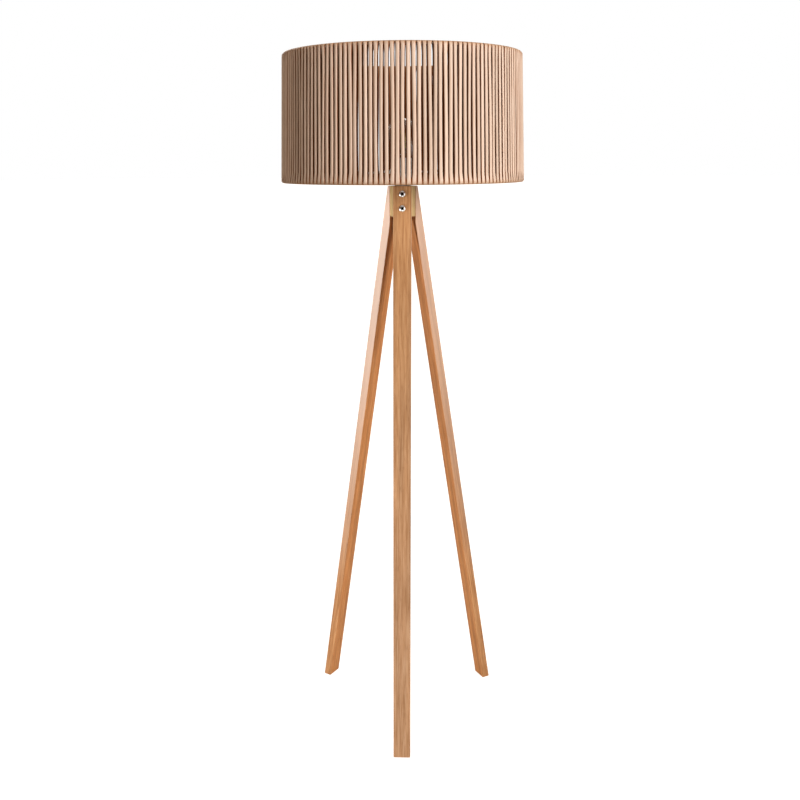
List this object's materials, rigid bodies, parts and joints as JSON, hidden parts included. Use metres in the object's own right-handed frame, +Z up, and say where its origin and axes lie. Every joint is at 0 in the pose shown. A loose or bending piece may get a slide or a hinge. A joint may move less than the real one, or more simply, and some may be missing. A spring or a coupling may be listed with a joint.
{
  "type": "tripod floor lamp",
  "caption": "Floor lamp on a wooden tripod, with a screw-in lampholder on a bolted hub and an open drum shade of upright folded paper tape",
  "frame": {"origin": "on the floor, on the tripod's axis", "axes": "+Z up, front leg towards -Y"},
  "size_m": [0.5, 0.5, 1.464],
  "materials": {
    "leg_wood": "satin oil",
    "hub_wood": "satin oil",
    "chrome": "polished",
    "brass": "satin",
    "steel": "zinc plated",
    "bulb_cap_metal": "satin",
    "white_plastic": "semi-gloss",
    "black_plastic": "matt",
    "porcelain": "glazed",
    "white_wire": "powder coat",
    "paper_tape": "folded kraft tape",
    "clear_glass": "clear",
    "filament": "phosphor coat"
  },
  "bodies": {
    "stand": {"hub_block": "hub_wood", "threaded_tube": "steel", "tube_nut": "steel", "tube_washer": "steel", "cord_bush": "black_plastic", "holder_cap": "white_plastic", "holder_shell": "white_plastic", "holder_core": "porcelain", "holder_screw_shell": "brass", "holder_centre_contact": "brass", "holder_terminal_screw_1": "steel", "holder_terminal_screw_2": "steel", "leg_front": "leg_wood", "leg_right": "leg_wood", "leg_left": "leg_wood", "leg_screw_front_upper": "chrome", "leg_screw_front_lower": "chrome", "leg_screw_right_upper": "chrome", "leg_screw_right_lower": "chrome", "leg_screw_left_upper": "chrome", "leg_screw_left_lower": "chrome", "hub_insert_front_upper": "brass", "hub_insert_front_lower": "brass", "hub_insert_right_upper": "brass", "hub_insert_right_lower": "brass", "hub_insert_left_upper": "brass", "hub_insert_left_lower": "brass"},
    "shade": {"shade_winding": "paper_tape", "shade_bottom_ring": "white_wire", "shade_top_ring": "white_wire", "shade_upright_1": "white_wire", "shade_upright_2": "white_wire", "shade_upright_3": "white_wire", "shade_upright_4": "white_wire", "shade_upright_5": "white_wire", "shade_upright_6": "white_wire", "shade_arm_1": "white_wire", "shade_arm_2": "white_wire", "shade_arm_3": "white_wire", "shade_fitter": "white_wire"},
    "ring": {"shade_ring": "white_plastic"},
    "bulb_tip": {"bulb_contact": "brass"},
    "bulb": {"bulb_glass": "clear_glass", "bulb_stem": "clear_glass", "bulb_filament_1": "filament", "bulb_filament_2": "filament", "bulb_filament_3": "filament", "bulb_filament_4": "filament", "bulb_cap": "bulb_cap_metal", "bulb_insulator": "black_plastic"}
  },
  "joints": [
    {"name": "shade_turn", "type": "hinge", "parent": "stand", "child": "shade", "pos_m": [0, 0, 1.2336], "axis": [0, 0, 1], "continuous": true},
    {"name": "ring_turn", "type": "hinge", "parent": "stand", "child": "ring", "pos_m": [0, 0, 1.239], "axis": [0, 0, 1], "range_deg": [0, 360]},
    {"name": "bulb_lift", "type": "slide", "parent": "stand", "child": "bulb_tip", "axis": [0, 0, 1], "range_m": [0, 0.0254]},
    {"name": "bulb_turn", "type": "hinge", "parent": "bulb_tip", "child": "bulb", "pos_m": [0, 0, 1.2344], "axis": [0, 0, 1], "range_deg": [0, 2520]}
  ],
  "couplings": [
    {"joint": "bulb_turn", "follows": "bulb_lift", "rad_per_m": 1730.9}
  ]
}
